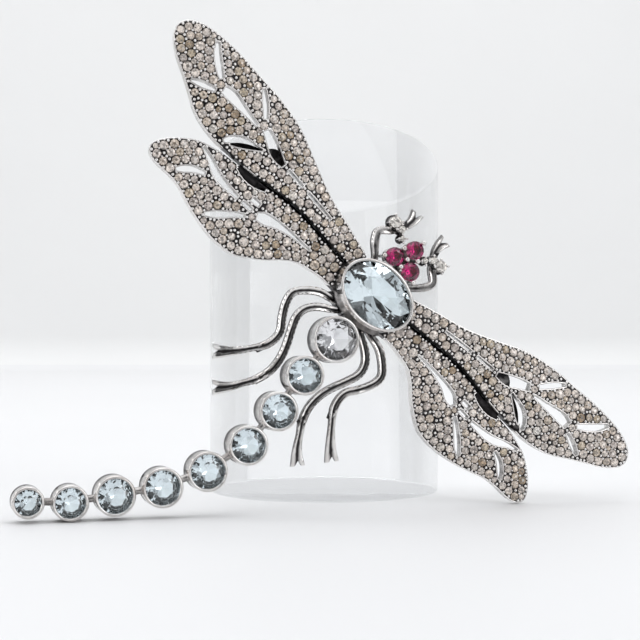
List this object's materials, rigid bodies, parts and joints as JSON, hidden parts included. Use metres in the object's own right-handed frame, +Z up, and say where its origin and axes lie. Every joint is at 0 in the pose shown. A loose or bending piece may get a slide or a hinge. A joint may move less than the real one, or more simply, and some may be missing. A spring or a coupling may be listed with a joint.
{
  "type": "dragonfly brooch on clear cylinder stand",
  "caption": "Silver dragonfly brooch with pierced wings, oval thorax stone and curved tail of round stones, leaning on a clear slant-cut cylinder.",
  "frame": {"origin": "middle of the clear cylinder's flat base, on the surface that it stands on", "axes": "+Z up, +X to the viewer's right, +Y away from the viewer; the brooch is in front of the cylinder, at -Y"},
  "size_m": [0.0941, 0.0639, 0.0736],
  "materials": {
    "pave_silver": "oxidised silver, polished on its edges",
    "bezel_silver": "polished silver with a warm grey tarnish",
    "leg_silver": "oxidised silver with polished ridges",
    "aqua_stone": "pale blue transparent cut stone",
    "ruby_stone": "pinkish red transparent cut stone",
    "white_stone": "greyish white transparent cut stone",
    "clear_acrylic": "clear polished acrylic"
  },
  "bodies": {
    "root": {"left_forewing": "pave_silver", "left_hindwing": "pave_silver", "right_forewing": "pave_silver", "right_hindwing": "pave_silver", "thorax_bezel": "bezel_silver", "thorax_stone": "aqua_stone", "head_setting": "bezel_silver", "ruby_left": "ruby_stone", "ruby_right": "ruby_stone", "ruby_top": "ruby_stone", "tail": "bezel_silver", "tail_stone_1": "aqua_stone", "tail_stone_2": "aqua_stone", "tail_stone_3": "aqua_stone", "tail_stone_4": "aqua_stone", "tail_stone_5": "aqua_stone", "tail_stone_6": "aqua_stone", "tail_stone_7": "aqua_stone", "tail_stone_8": "aqua_stone", "tail_stone_9": "aqua_stone", "left_middle_leg": "leg_silver", "left_hind_leg": "leg_silver", "right_middle_leg": "leg_silver", "right_hind_leg": "leg_silver", "left_foreleg": "bezel_silver", "right_foreleg": "bezel_silver", "left_foreleg_stone_1": "white_stone", "left_foreleg_stone_2": "white_stone", "left_foreleg_stone_3": "white_stone", "right_foreleg_stone_1": "white_stone", "right_foreleg_stone_2": "white_stone", "right_foreleg_stone_3": "white_stone", "pin": "leg_silver", "stand": "clear_acrylic"}
  },
  "joints": []
}
